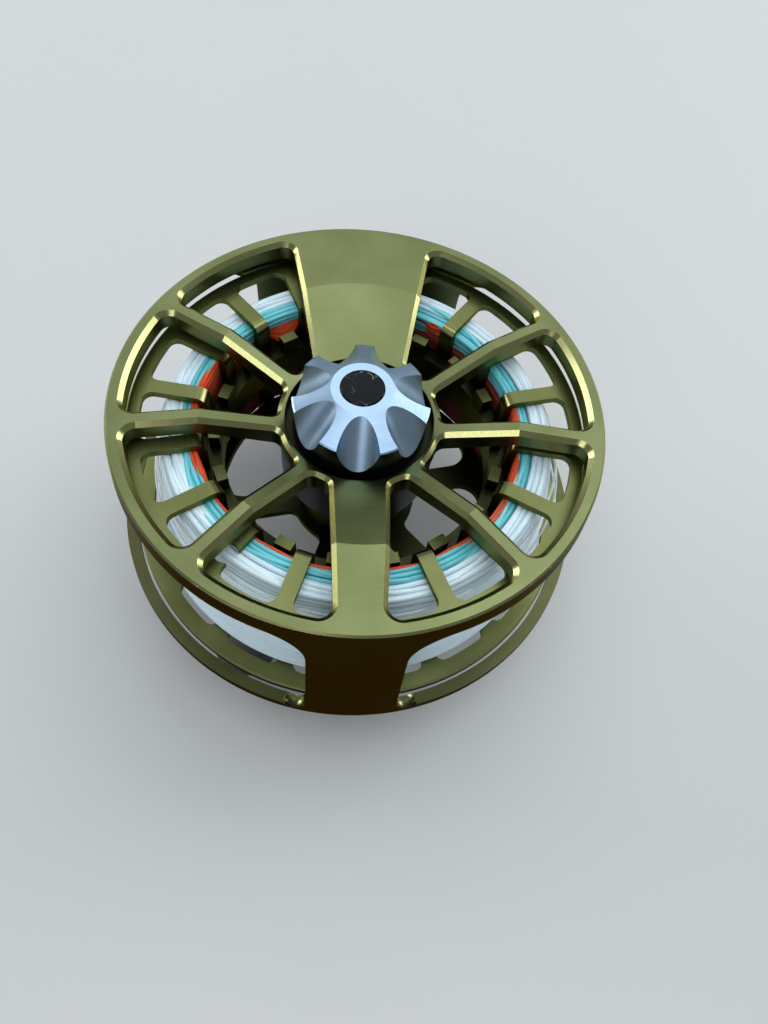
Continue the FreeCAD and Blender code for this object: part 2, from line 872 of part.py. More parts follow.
def handle_grip():
    tip = handle_top - handle_length
    bore = handle_bore_radius
    counterbore = handle_head_radius + 0.2
    floor = tip + handle_head_height + 0.4
    belly = tip + 3.2
    waist = V((handle_root_radius + handle_tip_radius) / 2.0 - 0.7, 0, (handle_top + belly) / 2.0)
    side = Part.Arc(V(handle_root_radius, 0, handle_top - 0.5), waist, V(handle_tip_radius, 0, belly))
    nose = Part.Arc(V(handle_tip_radius, 0, belly), V(handle_tip_radius - 0.25, 0, tip + 1.3),
                    V(handle_tip_radius - 1.4, 0, tip))
    corners = [(handle_tip_radius - 1.4, tip), (counterbore, tip), (counterbore, floor), (bore, floor),
               (bore, handle_top), (handle_root_radius - 0.5, handle_top),
               (handle_root_radius, handle_top - 0.5)]
    points = [V(radius, 0, z) for radius, z in corners]
    lines = [Part.makeLine(a, b) for a, b in zip(points, points[1:])]
    wire = Part.Wire([side.toShape(), nose.toShape()] + lines)
    at = handle_place()
    return moved(Part.Face(wire).revolve(V(0, 0, 0), Z_AXIS, 360), at.x, at.y, 0)


def handle_screw():
    floor = handle_top - handle_length + handle_head_height + 0.4
    head_top = floor - 0.1
    head = disc(handle_head_radius, head_top - handle_head_height, head_top)
    shank = disc(handle_screw_radius, head_top, far_flange_top)
    slot = Part.makeBox(12.0, 1.0, 0.9, V(-6.0, -0.5, head_top - handle_head_height))
    at = handle_place()
    return moved(fused([head, shank]).cut(slot), at.x, at.y, 0)


def handle_washer():
    at = handle_place()
    washer = ring(handle_screw_radius, handle_root_radius - 0.4, handle_top + 0.1, far_flange_bottom)
    return moved(washer, at.x, at.y, 0)


pieces = {
    "cage_frame": cage_frame,
    "reel_foot": reel_foot,
    "foot_screws": foot_screws,
    "spindle": spindle,
    "spindle_screw": spindle_screw,
    "drag_housing": drag_housing,
    "housing_seal": housing_seal,
    "housing_screws": housing_screws,
    "push_pins": push_pins,
    "thrust_washer": thrust_washer,
    "drag_springs": drag_springs,
    "drag_cone": drag_cone,
    "drag_rotor": drag_rotor,
    "rotor_bearings": rotor_bearings,
    "bearing_spacer": bearing_spacer,
    "retainer_ring": retainer_ring,
    "spool": spool,
    "spool_bushings": spool_bushings,
    "clutch_shell": clutch_shell,
    "clutch_rollers": clutch_rollers,
    "spool_cap": spool_cap,
    "backing_line": backing_line,
    "running_line": running_line,
    "head_line": head_line,
    "leader": leader,
    "adjuster_nut": adjuster_nut,
    "click_ball": click_ball,
    "click_spring": click_spring,
    "drag_knob": drag_knob,
    "knob_cap": knob_cap,
    "knob_screw": knob_screw,
    "handle_grip": handle_grip,
    "handle_screw": handle_screw,
    "handle_washer": handle_washer,
}

os.makedirs("parts", exist_ok=True)
for name, make in pieces.items():
    save(name, make())
    print("built", name)
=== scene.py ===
import bpy
import math
import numpy as np
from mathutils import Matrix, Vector


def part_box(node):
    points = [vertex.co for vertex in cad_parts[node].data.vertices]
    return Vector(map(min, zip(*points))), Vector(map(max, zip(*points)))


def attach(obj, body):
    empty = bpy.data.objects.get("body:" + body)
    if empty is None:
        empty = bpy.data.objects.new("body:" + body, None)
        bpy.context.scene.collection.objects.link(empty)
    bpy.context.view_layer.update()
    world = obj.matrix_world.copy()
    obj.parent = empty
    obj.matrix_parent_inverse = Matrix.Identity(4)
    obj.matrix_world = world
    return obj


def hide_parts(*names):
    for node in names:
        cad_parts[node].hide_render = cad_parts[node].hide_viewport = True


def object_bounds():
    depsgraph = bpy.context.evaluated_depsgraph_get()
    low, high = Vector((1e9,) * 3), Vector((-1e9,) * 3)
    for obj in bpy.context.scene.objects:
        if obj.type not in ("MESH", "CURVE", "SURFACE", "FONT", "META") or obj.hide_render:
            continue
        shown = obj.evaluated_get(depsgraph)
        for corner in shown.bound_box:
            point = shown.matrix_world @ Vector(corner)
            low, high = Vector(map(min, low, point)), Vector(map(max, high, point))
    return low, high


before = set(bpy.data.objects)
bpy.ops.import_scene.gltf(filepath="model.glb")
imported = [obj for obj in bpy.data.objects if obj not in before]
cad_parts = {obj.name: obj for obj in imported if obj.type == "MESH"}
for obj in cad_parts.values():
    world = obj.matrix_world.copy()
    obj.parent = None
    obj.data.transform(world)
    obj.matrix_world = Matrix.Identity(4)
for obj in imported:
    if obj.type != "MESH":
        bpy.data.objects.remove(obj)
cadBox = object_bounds()
mm = 0.001
print("frame loaded")

# Camera, light and floor.

cameraSetup = {
    "place": (-6.235, -82.715, 108.305),  # millimetres
    "turn": (29.059, -4.887, -0.683),  # degrees about x, y, z
    "lens": 26.766,
}


def placeCamera():
    data = bpy.data.cameras.new("camera")
    data.lens = cameraSetup["lens"]
    data.clip_start = 0.005
    camera = bpy.data.objects.new("camera", data)
    camera.location = Vector(cameraSetup["place"]) * mm
    camera.rotation_euler = [math.radians(angle) for angle in cameraSetup["turn"]]
    bpy.context.collection.objects.link(camera)
    bpy.context.scene.camera = camera


placeCamera()
bpy.context.scene.view_settings.view_transform = "Standard"

# Each soft light as where it stands, the size of its panel in metres, its power and colour.
studioLights = {
    "windowLight": {"from": (0.30, 0.66, 1.00), "size": (1.8, 0.8), "power": 8.0,
                    "colour": (0.88, 0.95, 1.0)},
    "roofLight": {"from": (0.00, -0.02, 1.15), "size": (1.3, 0.9), "power": 7.0,
                  "colour": (0.88, 0.95, 1.0)},
    "leftLight": {"from": (-0.90, 0.55, 0.32), "size": (0.7, 0.5), "power": 5.0,
                  "colour": (0.93, 0.97, 1.0)},
    "rightLight": {"from": (0.90, 0.50, 0.34), "size": (0.6, 0.5), "power": 4.0,
                   "colour": (0.93, 0.97, 1.0)},
    "fillLight": {"from": (-0.40, -0.80, 0.62), "size": (0.6, 0.3), "power": 2.0,
                  "colour": (0.90, 0.96, 1.0)},
}
surroundings = {"skyColour": (0.84, 0.92, 1.0), "skyStrength": 0.27,
                "floorColour": (0.55, 0.545, 0.53), "floorSide": 3.0}


def addLight(name, place, size, power, colour):
    data = bpy.data.lights.new(name, "AREA")
    data.shape = "RECTANGLE"
    data.size, data.size_y = size
    data.energy = power
    data.color = colour
    light = bpy.data.objects.new(name, data)
    light.location = place
    light.rotation_euler = (-Vector(place)).to_track_quat("-Z", "Y").to_euler()
    bpy.context.collection.objects.link(light)


for lightName, setup in studioLights.items():
    addLight(lightName, setup["from"], setup["size"], setup["power"], setup["colour"])


def lightSky():
    world = bpy.data.worlds.new("studio")
    world.use_nodes = True
    background = world.node_tree.nodes["Background"]
    background.inputs["Color"].default_value = surroundings["skyColour"] + (1.0,)
    background.inputs["Strength"].default_value = surroundings["skyStrength"]
    bpy.context.scene.world = world


lightSky()


# Materials.  A material is a Principled shader with sockets set from a dictionary,
# and small node chains that vary its colour, roughness and relief.

class Nodes:
    def __init__(self, name):
        self.material = bpy.data.materials.new(name)
        self.material.use_nodes = True
        self.tree = self.material.node_tree
        self.shader = self.tree.nodes["Principled BSDF"]

    def add(self, kind, inputs=None, **settings):
        node = self.tree.nodes.new("ShaderNode" + kind)
        for key, value in settings.items():
            setattr(node, key, value)
        for key, value in (inputs or {}).items():
            self.give(node.inputs[key], value)
        return node

    def give(self, socket, value):
        if isinstance(value, bpy.types.NodeSocket):
            self.tree.links.new(value, socket)
        else:
            socket.default_value = value

    def math(self, operation, first, second=0.0, clamp=False):
        node = self.add("Math", {0: first, 1: second}, operation=operation, use_clamp=clamp)
        return node.outputs[0]

    def within(self, value, low, high):
        # 0 below low, 1 above high and smooth between them.
        node = self.add("MapRange", {"Value": value, "From Min": low, "From Max": high},
                        interpolation_type="SMOOTHSTEP")
        return node.outputs["Result"]

    def opposite(self, value):
        return self.math("SUBTRACT", 1.0, value)

    def times(self, first, second):
        return self.math("MULTIPLY", first, second)

    def noise(self, place, scale, detail):
        return self.add("TexNoise", {"Vector": place, "Scale": scale, "Detail": detail}).outputs["Fac"]

    def blend(self, share, first, second):
        node = self.add("Mix", {0: share}, data_type="RGBA")
        for socket, value in ((node.inputs[6], first), (node.inputs[7], second)):
            self.give(socket, value if isinstance(value, bpy.types.NodeSocket) else tuple(value) + (1.0,))
        return node.outputs[2]

    def set(self, **sockets):
        for key, value in sockets.items():
            if isinstance(value, tuple) and len(value) == 3:
                value = value + (1.0,)
            self.give(self.shader.inputs[socketNames[key]], value)

    def bump(self, height, strength, depth, under=None):
        node = self.add("Bump", {"Height": height, "Strength": strength, "Distance": depth * mm})
        if under is not None:
            self.give(node.inputs["Normal"], under)
        return node.outputs["Normal"]


socketNames = {
    "colour": "Base Color", "metal": "Metallic", "roughness": "Roughness", "normal": "Normal",
    "anisotropy": "Anisotropic", "tangent": "Tangent", "coat": "Coat Weight",
    "coatRoughness": "Coat Roughness", "specular": "Specular IOR Level",
    "edgeTint": "Specular Tint", "transmission": "Transmission Weight", "ior": "IOR",
}


def roundAxis(nodes):
    # Distance from the reel's axis and height in millimetres, angle about it in radians.
    place = nodes.add("TexCoord").outputs["Object"]
    split = nodes.add("SeparateXYZ", {0: place})
    x, y, z = [nodes.times(split.outputs[axis], 1.0 / mm) for axis in range(3)]
    radius = nodes.math("SQRT", nodes.math("ADD", nodes.times(x, x), nodes.times(y, y)))
    angle = nodes.math("ARCTAN2", y, x)
    return radius, angle, z, place


def turnedGrain(nodes, radius, angle, z, linesPerMillimetre):
    # Fine lines that run round the axis, on flat faces and on walls alike.
    vector = nodes.add("CombineXYZ", {
        0: nodes.times(radius, linesPerMillimetre),
        1: nodes.times(angle, 2.5),
        2: nodes.times(z, linesPerMillimetre)}).outputs[0]
    grain = nodes.add("TexNoise", {"Vector": vector, "Scale": 1.0, "Detail": 2.0, "Roughness": 0.6})
    return grain.outputs["Fac"]


def faceTilt(nodes):
    # 1 on level faces and 0 on upright ones.
    facing = nodes.add("SeparateXYZ", {0: nodes.add("TexCoord").outputs["Normal"]})
    return nodes.math("ABSOLUTE", facing.outputs[2])


def roundTangent(nodes):
    return nodes.add("Tangent", direction_type="RADIAL", axis="Z").outputs[0]


# Millimetres for the radii and heights: the cage wall's outside, the shaded hollow round the axis
# and its top, and the height under which level faces are shaded too.
anodised = {
    "frame": {"colour": (0.165, 0.182, 0.080), "deep": (0.125, 0.138, 0.054),
              "edge": (0.50, 0.47, 0.20), "wall": (0.032, 0.022, 0.011),
              "hollow": (0.006, 0.006, 0.004), "glance": (0.75, 0.74, 0.52),
              "wallGlance": (0.45, 0.40, 0.33), "roughness": 0.30,
              "wallRadius": 43.6, "hollowRadius": 13.8, "hollowTop": 5.0, "lowStart": -30.0},
    "spool": {"colour": (0.158, 0.168, 0.066), "deep": (0.110, 0.117, 0.040),
              "edge": (0.50, 0.47, 0.20), "wall": (0.030, 0.028, 0.012),
              "hollow": (0.020, 0.020, 0.009), "glance": (0.70, 0.70, 0.45),
              "wallGlance": (0.30, 0.26, 0.16), "roughness": 0.33,
              "wallRadius": 43.6, "hollowRadius": 29.5, "hollowTop": -8.5, "lowStart": -60.0},
}
# Steepness is 1 on level faces and 0 on upright ones; each pair is where a kind of face comes in.
steepness = {"bevelFrom": (0.4, 0.6), "bevelTo": (0.86, 0.93), "notUpright": (0.2, 0.45),
             "level": (0.9, 0.97)}
grainLines = {"anodised": 3.2, "satin": 4.0, "knob": 9.0}  # turned lines to the millimetre
nicks = {"radius": 43.55, "scale": 1500.0, "patchScale": 110.0, "amount": 0.70,
         "colour": (0.75, 0.76, 0.72)}


def anodisedMetal(name, finish):
    nodes = Nodes(name)
    radius, angle, z, place = roundAxis(nodes)
    tilt = faceTilt(nodes)
    grain = turnedGrain(nodes, radius, angle, z, grainLines["anodised"])
    broad = nodes.noise(place, 70.0, 3.0)
    colour = nodes.blend(nodes.within(broad, 0.3, 0.75), finish["deep"], finish["colour"])
    colour = nodes.blend(nodes.times(nodes.within(grain, 0.35, 0.7), 0.35), colour, finish["colour"])
    # Painted highlight: faces at a bevel's slope are lightened towards bright gold, as if they caught the
    # light; they are also smoother.
    bevel = nodes.times(nodes.within(tilt, *steepness["bevelFrom"]),
                        nodes.opposite(nodes.within(tilt, *steepness["bevelTo"])))
    colour = nodes.blend(nodes.times(bevel, 0.6), colour, finish["edge"])
    # Painted shade: the outside of the wall gets a dark colour and a dark glance tint.
    outside = nodes.within(radius, finish["wallRadius"] - 0.3, finish["wallRadius"])
    wall = nodes.times(outside, nodes.opposite(nodes.within(tilt, *steepness["notUpright"])))
    colour = nodes.blend(nodes.times(wall, 0.92), colour, finish["wall"])
    # Painted shade: the hollow round the axis and level faces low down in the cage are darkened.
    inside = nodes.opposite(nodes.within(radius, finish["hollowRadius"] - 0.2, finish["hollowRadius"]))
    below = nodes.opposite(nodes.within(z, finish["hollowTop"] - 3.0, finish["hollowTop"]))
    colour = nodes.blend(nodes.times(nodes.times(inside, below), 0.95), colour, finish["hollow"])
    low = nodes.opposite(nodes.within(z, finish["lowStart"] - 2.0, finish["lowStart"]))
    level = nodes.within(tilt, *steepness["level"])
    colour = nodes.blend(nodes.times(nodes.times(low, level), 0.6), colour, finish["wall"])
    # Small bright nicks along the outer corner of the rim.
    chips = nodes.noise(place, nicks["scale"], 1.0)
    patches = nodes.noise(place, nicks["patchScale"], 0.0)
    flush = nodes.opposite(nodes.within(nodes.math("ABSOLUTE", z), 0.25, 0.6))
    near = nodes.times(nodes.within(radius, nicks["radius"], nicks["radius"] + 0.25), flush)
    chipped = nodes.times(nodes.within(chips, nicks["amount"], nicks["amount"] + 0.03),
                          nodes.within(patches, 0.50, 0.58))
    colour = nodes.blend(nodes.times(near, chipped), colour, nicks["colour"])
    roughness = nodes.math("ADD", finish["roughness"] - 0.05, nodes.times(grain, 0.16))
    roughness = nodes.math("SUBTRACT", roughness, nodes.times(bevel, 0.10))
    relief = nodes.bump(grain, 0.12, 0.008)
    relief = nodes.bump(nodes.noise(place, 5200.0, 2.0), 0.08, 0.006, relief)
    nodes.set(colour=colour, metal=1.0, roughness=roughness, normal=relief, anisotropy=0.45,
              tangent=roundTangent(nodes),
              edgeTint=nodes.blend(wall, finish["glance"], finish["wallGlance"]))
    return nodes.material


def satinMetal(name, colour, roughness, lines=grainLines["satin"], anisotropy=0.4):
    nodes = Nodes(name)
    radius, angle, z, _ = roundAxis(nodes)
    grain = turnedGrain(nodes, radius, angle, z, lines)
    shade = tuple(part * 0.75 for part in colour)
    nodes.set(colour=nodes.blend(nodes.within(grain, 0.3, 0.7), shade, colour), metal=1.0,
              roughness=nodes.math("ADD", roughness - 0.06, nodes.times(grain, 0.14)),
              normal=nodes.bump(grain, 0.2, 0.01), anisotropy=anisotropy,
              tangent=roundTangent(nodes))
    return nodes.material


# Painted reflection: the silver knob's colour and deep colour are tinted blue, as a reflected blue sky
# would tint them.
knobFinish = {"colour": (0.36, 0.49, 0.63), "deep": (0.31, 0.42, 0.55), "side": (0.030, 0.032, 0.036),
              "sideStart": 11.3, "roughness": 0.36}  # sideStart in millimetres from the axis


def knobMetal(name):
    nodes = Nodes(name)
    radius, angle, z, place = roundAxis(nodes)
    tilt = faceTilt(nodes)
    grain = turnedGrain(nodes, radius, angle, z, grainLines["knob"])
    colour = nodes.blend(nodes.within(grain, 0.3, 0.7), knobFinish["deep"], knobFinish["colour"])
    # Painted shade: the side under the flutes is darkened.
    outside = nodes.within(radius, knobFinish["sideStart"], knobFinish["sideStart"] + 0.3)
    side = nodes.times(outside, nodes.opposite(nodes.within(tilt, 0.1, 0.3)))
    colour = nodes.blend(side, colour, knobFinish["side"])
    smudge = nodes.within(nodes.noise(place, 260.0, 3.0), 0.45, 0.75)
    roughness = nodes.math("ADD", knobFinish["roughness"] - 0.05, nodes.times(grain, 0.10))
    roughness = nodes.math("ADD", roughness, nodes.times(smudge, 0.06))
    nodes.set(colour=colour, metal=1.0, roughness=roughness, normal=nodes.bump(grain, 0.02, 0.002))
    return nodes.material


def plainPlastic(name, colour, roughness, grainScale=2600.0, depth=0.02):
    nodes = Nodes(name)
    place = nodes.add("TexCoord").outputs["Object"]
    fine = nodes.noise(place, grainScale, 3.0)
    broad = nodes.noise(place, 120.0, 2.0)
    lighter = tuple(min(1.0, part * 1.6 + 0.006) for part in colour)
    unevenness = nodes.times(nodes.math("SUBTRACT", fine, 0.5), 0.2)
    nodes.set(colour=nodes.blend(nodes.times(broad, 0.6), colour, lighter),
              roughness=nodes.math("ADD", roughness, unevenness), normal=nodes.bump(fine, 0.35, depth))
    return nodes.material


capFinish = {"colour": (0.003, 0.0035, 0.005), "scratch": (0.40, 0.34, 0.26), "roughness": 0.25,
             "scratches": ((230.0, 1.7, 0.010), (310.0, 5.1, 0.008), (180.0, 9.3, 0.006))}


def scratchedCap(name):
    nodes = Nodes(name)
    place = nodes.add("TexCoord").outputs["Object"]
    # A thin curved scratch is where a slowly wandering noise crosses its middle value.
    lines = []
    for scale, offset, width in capFinish["scratches"]:
        moved = nodes.add("Mapping", {"Vector": place, "Location": (offset, offset * 2.0, 0.0)}).outputs[0]
        away = nodes.math("ABSOLUTE", nodes.math("SUBTRACT", nodes.noise(moved, scale, 1.0), 0.5))
        lines.append(nodes.opposite(nodes.within(away, 0.0, width)))
    marks = nodes.math("MAXIMUM", nodes.math("MAXIMUM", lines[0], lines[1]), lines[2])
    marks = nodes.times(marks, nodes.within(nodes.noise(place, 420.0, 2.0), 0.48, 0.62))
    nodes.set(colour=nodes.blend(nodes.times(marks, 0.7), capFinish["colour"], capFinish["scratch"]),
              roughness=nodes.math("ADD", capFinish["roughness"], nodes.times(marks, 0.4)),
              normal=nodes.bump(marks, 0.5, 0.03), specular=0.1)
    return nodes.material


# Colours of the wound line: the coating's own colour and the colour where turns shade each other.
lineColours = {
    "backing": {"colour": (1.0, 0.100, 0.012), "deep": (0.075, 0.008, 0.003), "roughness": 0.55,
                "coat": 0.0},
    "running": {"colour": (0.21, 0.74, 0.80), "deep": (0.03, 0.28, 0.34), "roughness": 0.36,
                "coat": 0.15},
    "head": {"colour": (0.82, 0.95, 1.0), "deep": (0.56, 0.71, 0.79), "roughness": 0.38,
             "coat": 0.2},
}


def lineCoating(name, finish, woven):
    nodes = Nodes(name)
    place = nodes.add("TexCoord").outputs["Object"]
    # The strand's tone value runs from 0, the deep colour, to 1, its own colour: random tone between
    # strands mixed with painted shade on turns that lie lower or under others.
    tone = nodes.add("Attribute", attribute_name="tone").outputs["Fac"]
    along = nodes.noise(place, 160.0, 3.0)
    share = nodes.math("ADD", nodes.times(tone, 0.75), nodes.times(along, 0.25), clamp=True)
    relief = nodes.bump(nodes.noise(place, 3000.0, 2.0), 0.3, 0.03 if woven else 0.01)
    if woven:
        # The braid shows as short slanted plaits along each strand.
        strandPlace = nodes.add("UVMap").outputs[0]
        plait = nodes.add("TexWave", {"Vector": strandPlace, "Scale": 3.1, "Distortion": 0.0},
                          wave_type="BANDS", bands_direction="DIAGONAL").outputs["Fac"]
        relief = nodes.bump(plait, 0.5, 0.05, relief)
    nodes.set(colour=nodes.blend(share, finish["deep"], finish["colour"]),
              roughness=finish["roughness"], normal=relief, coat=finish["coat"], coatRoughness=0.25)
    return nodes.material


def clearStrand(name):
    nodes = Nodes(name)
    fine = nodes.noise(nodes.add("TexCoord").outputs["Object"], 900.0, 2.0)
    nodes.set(colour=nodes.blend(fine, (0.80, 0.82, 0.80), (0.95, 0.96, 0.95)), roughness=0.12,
              transmission=0.35, ior=1.5, normal=nodes.bump(fine, 0.1, 0.01), coat=0.4)
    return nodes.material


finishes = {
    "frame": anodisedMetal("frameAnodised", anodised["frame"]),
    "spool": anodisedMetal("spoolAnodised", anodised["spool"]),
    "knob": knobMetal("knobSatin"),
    "cap": scratchedCap("capGloss"),
    "steel": satinMetal("steelSatin", (0.55, 0.55, 0.56), 0.28),
    "ball": satinMetal("ballPolished", (0.72, 0.72, 0.74), 0.12, 2.0, 0.0),
    "bronze": satinMetal("bronzeSatin", (0.50, 0.33, 0.13), 0.34),
    "plainAluminium": satinMetal("aluminiumTurned", (0.60, 0.61, 0.63), 0.3),
    "blackAluminium": plainPlastic("blackAnodised", (0.010, 0.010, 0.011), 0.34),
    "rubber": plainPlastic("sealRubber", (0.012, 0.012, 0.012), 0.7),
    "handle": plainPlastic("handleBlack", (0.014, 0.014, 0.015), 0.38, 3400.0, 0.03),
    "composite": plainPlastic("dragComposite", (0.03, 0.03, 0.032), 0.6),
    "backing": lineCoating("backingBraid", lineColours["backing"], True),
    "running": lineCoating("runningCoating", lineColours["running"], False),
    "head": lineCoating("headCoating", lineColours["head"], False),
    "leader": clearStrand("leaderClear"),
}
nodeFinishes = {
    "frame": ["cage_frame", "reel_foot"],
    "spool": ["spool", "spool_cap"],
    "knob": ["drag_knob"],
    "cap": ["knob_cap"],
    "steel": ["foot_screws", "spindle", "spindle_screw", "housing_screws", "knob_screw", "push_pins",
              "drag_springs", "rotor_bearings", "retainer_ring", "click_spring", "handle_screw",
              "clutch_shell", "clutch_rollers"],
    "ball": ["click_ball"],
    "bronze": ["adjuster_nut", "thrust_washer", "spool_bushings"],
    "plainAluminium": ["drag_rotor", "bearing_spacer"],
    "blackAluminium": ["drag_housing"],
    "rubber": ["housing_seal"],
    "handle": ["handle_grip"],
    "composite": ["drag_cone", "handle_washer"],
    "backing": ["backing_line"],
    "running": ["running_line"],
    "head": ["head_line"],
    "leader": ["leader"],
}
for finishName, names in nodeFinishes.items():
    for nodeName in names:
        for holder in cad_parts[nodeName].material_slots:
            holder.material = finishes[finishName]
print("materials made")


# Shapes.  A strand of line is a small circle carried round the reel's axis.

def addMesh(name, points, faces, material, tone=None, uv=None):
    mesh = bpy.data.meshes.new(name)
    mesh.from_pydata(points.tolist(), [], faces)
    mesh.polygons.foreach_set("use_smooth", np.ones(len(mesh.polygons), dtype=bool))
    if tone is not None:
        mesh.attributes.new("tone", "FLOAT", "POINT").data.foreach_set("value", tone.astype(np.float32))
    if uv is not None:
        corners = np.empty(len(mesh.loops), dtype=np.int32)
        mesh.loops.foreach_get("vertex_index", corners)
        mesh.uv_layers.new(name="strandMap").data.foreach_set("uv", uv[corners].astype(np.float32).ravel())
    mesh.materials.append(material)
    piece = bpy.data.objects.new(name, mesh)
    bpy.context.collection.objects.link(piece)
    return piece


def gridFaces(rows, columns, closedRows, closedColumns, start):
    # Quads of a grid of points that may join up in either direction.
    i = np.arange(rows if closedRows else rows - 1)
    j = np.arange(columns if closedColumns else columns - 1)
    i, j = [part.ravel() for part in np.meshgrid(i, j, indexing="ij")]
    nextI, nextJ = (i + 1) % rows, (j + 1) % columns
    corners = [i * columns + j, nextI * columns + j, nextI * columns + nextJ, i * columns + nextJ]
    return start + np.stack(corners, axis=1)


bedSteps = 120


class Winding:
    # Gathers strands and beds that become one mesh.
    def __init__(self):
        self.points, self.faces, self.tones, self.maps, self.count = [], [], [], [], 0

    def keep(self, grid, closedRows, closedColumns, tone, run):
        rows, columns = grid.shape[:2]
        self.faces += gridFaces(rows, columns, closedRows, closedColumns, self.count).tolist()
        if not closedRows:
            first = self.count + np.arange(columns)
            self.faces.append(first.tolist())
            self.faces.append((first + (rows - 1) * columns)[::-1].tolist())
        self.points.append(grid.reshape(-1, 3))
        self.tones.append(np.broadcast_to(np.reshape(tone, (-1, 1)), (rows, columns)).ravel())
        across = np.linspace(0.0, 1.0, columns, endpoint=False)
        lengthwise, crosswise = np.broadcast_arrays(run[:, None], across[None, :])
        self.maps.append(np.stack([lengthwise, crosswise], axis=-1).reshape(-1, 2))
        self.count += rows * columns

    def strand(self, angle, distance, height, thick, tone, sides=8, closed=True):
        # Centre line: (distance cos angle, distance sin angle, height).  The circle of radius thick
        # stands in the plane through the axis, so its points are the centre plus
        # thick (cos q outwards + sin q upwards) for q once round.
        q = np.linspace(0.0, 2.0 * math.pi, sides, endpoint=False)
        reach = distance[:, None] + thick * np.cos(q)[None, :]
        rise = height[:, None] + thick * np.sin(q)[None, :]
        east, north = np.cos(angle)[:, None], np.sin(angle)[:, None]
        grid = np.stack([reach * east, reach * north, rise], axis=-1)
        self.keep(grid * mm, closed, True, tone, angle * distance / (2.0 * thick))

    def bed(self, outline):
        # A closed outline of (distance, height), clockwise, turned once round the axis.
        outline = np.array(outline)
        angle = np.linspace(0.0, 2.0 * math.pi, bedSteps, endpoint=False)
        distance, height = outline[:, 0][None, :], outline[:, 1][None, :]
        across, along = distance * np.cos(angle)[:, None], distance * np.sin(angle)[:, None]
        grid = np.stack(np.broadcast_arrays(across, along, height), axis=-1)
        # The bed shows the deep colour all over: a dark sheet of painted shade in the gaps between
        # strands.
        self.keep(grid * mm, True, True, 0.0, angle)

    def build(self, name, material):
        return addMesh(name, np.concatenate(self.points), self.faces, material,
                       np.concatenate(self.tones), np.concatenate(self.maps))


def smoothStep(x):
    x = np.clip(x, 0.0, 1.0)
    return x * x * (3.0 - 2.0 * x)


def tuckedEnds(run, length):
    # 1 along an open strand and smoothly 0 at its two ends.
    return smoothStep(run / length) * smoothStep((1.0 - run) / length)


def waver(chance, angle, size, waves=(2, 3, 5)):
    # A slow wobble with random phases that closes after one turn.
    return size * sum(np.sin(wave * angle + chance.uniform(0.0, 2.0 * math.pi)) / wave for wave in waves)


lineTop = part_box("head_line")[1][2] / mm
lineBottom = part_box("head_line")[0][2] / mm
lineMiddle = (lineTop + lineBottom) / 2.0
turnSteps = 96
oneTurn = np.linspace(0.0, 2.0 * math.pi, turnSteps, endpoint=False)

# Lengths in millimetres and angles in degrees.  thick is a strand's radius, inner or first the
# distance of its first turn from the axis.  overturns are turns that ride up over the corner of
# the pack: where they start, how far round they run and their distance from the axis.  bundle is
# the loose V: where it hangs, half its width, its strands, their distance from the axis and depth
# under the pack's top at the sides, and how far each hangs in and down at the middle.
backing = {"thick": 0.30, "inner": 29.95, "pitch": 0.63, "bars": 18, "barPhase": 12.0, "sag": 0.30,
           "darkBelow": 4.0, "hiddenDepth": 3.6, "hiddenOut": 0.75, "hiddenDown": 0.9,
           "overturns": ((148.0, 62.0, 30.15), (155.0, 50.0, 30.75), (-62.0, 54.0, 30.15),
                         (-55.0, 40.0, 30.75), (-112.0, 46.0, 30.1), (-8.0, 22.0, 30.2))}
bundle = {"angle": 121.5, "spread": 8.0, "strands": 10, "distance": 30.15, "depth": 2.3,
          "depthStep": 0.12, "inward": 0.5, "inwardStep": 0.24, "down": 0.35, "downStep": 0.36}
coveredSpans = ((18.0, 54.0), (64.0, 152.0), (-44.0, -28.0))  # where running line lies over the backing


def covered(angle):
    # 1 where the running line has slid down over the backing, 0 elsewhere and smooth between.
    degrees = np.degrees(angle)
    share = np.zeros_like(degrees)
    for start, end in coveredSpans:
        fromMiddle = np.abs((degrees - (start + end) / 2.0 + 180.0) % 360.0 - 180.0)
        away = fromMiddle - (end - start) / 2.0
        share = np.maximum(share, smoothStep(0.5 - away / 8.0))
    return share


